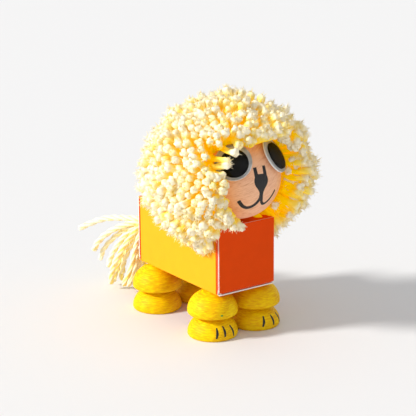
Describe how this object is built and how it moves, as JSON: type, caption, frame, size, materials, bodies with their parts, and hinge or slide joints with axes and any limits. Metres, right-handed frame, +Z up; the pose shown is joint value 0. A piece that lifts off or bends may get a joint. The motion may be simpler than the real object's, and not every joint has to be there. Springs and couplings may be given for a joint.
{
  "type": "craft lion figure",
  "caption": "Standing craft lion: folded card carton body, half-ball legs and face, wiggle eyes, yarn pompom mane and tassel tail.",
  "frame": {"origin": "on the standing surface, under the middle of the whole lion's box", "axes": "+Z up, -Y the way the lion looks, +X the lion's left side"},
  "size_m": [0.081, 0.1328, 0.121],
  "materials": {
    "card_yellow": "printed yellow card with a light satin coat and white cut edges",
    "card_orange": "printed orange card with a light satin coat and white cut edges",
    "card_plain": "uncoated white card",
    "yellow_paint": "brushed matt yellow paint on wood, grain showing",
    "pink_wood": "thin pink stain on wood, grain showing",
    "eye_white": "white plastic",
    "eye_black": "black plastic",
    "eye_clear": "clear polished plastic",
    "cream_yarn": "soft acrylic yarn, cream tips over yellow",
    "glue": "dried craft glue"
  },
  "bodies": {
    "root": {"carton_top_panel": "card_orange", "carton_bottom_panel": "card_orange", "carton_left_panel": "card_yellow", "carton_right_panel": "card_yellow", "carton_glue_tab": "card_plain", "face_half_ball": "pink_wood", "mane_pompom": "cream_yarn", "mane_tie": "cream_yarn", "glue_pads": "glue", "front_left_leg": "yellow_paint", "front_left_paw": "yellow_paint", "front_right_leg": "yellow_paint", "front_right_paw": "yellow_paint", "rear_left_leg": "yellow_paint", "rear_left_paw": "yellow_paint", "rear_right_leg": "yellow_paint", "rear_right_paw": "yellow_paint", "left_eye_back": "eye_white", "left_eye_dome": "eye_clear", "right_eye_back": "eye_white", "right_eye_dome": "eye_clear"},
    "front_flap": {"front_end_flap": "card_orange"},
    "front_tuck": {"front_tuck_flap": "card_orange"},
    "front_dust_left": {"front_dust_flap_left": "card_orange"},
    "front_dust_right": {"front_dust_flap_right": "card_orange"},
    "rear_flap": {"rear_end_flap": "card_orange", "tail_anchor_knot": "cream_yarn"},
    "rear_tuck": {"rear_tuck_flap": "card_orange"},
    "rear_dust_left": {"rear_dust_flap_left": "card_orange"},
    "rear_dust_right": {"rear_dust_flap_right": "card_orange"},
    "left_pupil": {"left_eye_pupil": "eye_black"},
    "right_pupil": {"right_eye_pupil": "eye_black"},
    "tail_swivel": {"tail_knot": "cream_yarn"},
    "tail_brush": {"tail_tassel": "cream_yarn"}
  },
  "joints": [
    {"name": "front_flap_fold", "type": "hinge", "parent": "root", "child": "front_flap", "pos_m": [0, -0.05042, 0.05735], "axis": [-1, 0, 0], "range_deg": [0, 80]},
    {"name": "front_tuck_fold", "type": "hinge", "parent": "front_flap", "child": "front_tuck", "pos_m": [0, -0.05017, 0.02465], "axis": [1, 0, 0], "range_deg": [0, 60]},
    {"name": "front_dust_fold_left", "type": "hinge", "parent": "root", "child": "front_dust_left", "pos_m": [0.01655, -0.04977, 0.0405], "axis": [0, 0, 1], "range_deg": [0, 80]},
    {"name": "front_dust_fold_right", "type": "hinge", "parent": "root", "child": "front_dust_right", "pos_m": [-0.01655, -0.04977, 0.0405], "axis": [0, 0, -1], "range_deg": [0, 80]},
    {"name": "rear_flap_fold", "type": "hinge", "parent": "root", "child": "rear_flap", "pos_m": [0, 0.01968, 0.05735], "axis": [1, 0, 0], "range_deg": [0, 80]},
    {"name": "rear_tuck_fold", "type": "hinge", "parent": "rear_flap", "child": "rear_tuck", "pos_m": [0, 0.01943, 0.02465], "axis": [-1, 0, 0], "range_deg": [0, 60]},
    {"name": "rear_dust_fold_left", "type": "hinge", "parent": "root", "child": "rear_dust_left", "pos_m": [0.01655, 0.01903, 0.0405], "axis": [0, 0, -1], "range_deg": [0, 80]},
    {"name": "rear_dust_fold_right", "type": "hinge", "parent": "root", "child": "rear_dust_right", "pos_m": [-0.01655, 0.01903, 0.0405], "axis": [0, 0, 1], "range_deg": [0, 80]},
    {"name": "left_pupil_roll", "type": "hinge", "parent": "root", "child": "left_pupil", "pos_m": [0.01074, -0.05789, 0.09119], "axis": [0.5044, -0.6817, 0.5299], "continuous": true},
    {"name": "right_pupil_roll", "type": "hinge", "parent": "root", "child": "right_pupil", "pos_m": [-0.0122, -0.05668, 0.09119], "axis": [-0.5729, -0.6252, 0.5299], "continuous": true},
    {"name": "tail_swing", "type": "hinge", "parent": "rear_flap", "child": "tail_swivel", "pos_m": [0, 0.02323, 0.0405], "axis": [0, 0, 1], "range_deg": [-40, 40]},
    {"name": "tail_lift", "type": "hinge", "parent": "tail_swivel", "child": "tail_brush", "pos_m": [0, 0.02323, 0.0405], "axis": [1, 0, 0], "range_deg": [0, 50]}
  ],
  "couplings": [
    {"joint": "front_tuck_fold", "follows": "front_flap_fold", "ratio": 0.75},
    {"joint": "front_dust_fold_left", "follows": "front_flap_fold", "ratio": 1},
    {"joint": "front_dust_fold_right", "follows": "front_flap_fold", "ratio": 1},
    {"joint": "rear_tuck_fold", "follows": "rear_flap_fold", "ratio": 0.75},
    {"joint": "rear_dust_fold_left", "follows": "rear_flap_fold", "ratio": 1},
    {"joint": "rear_dust_fold_right", "follows": "rear_flap_fold", "ratio": 1}
  ]
}
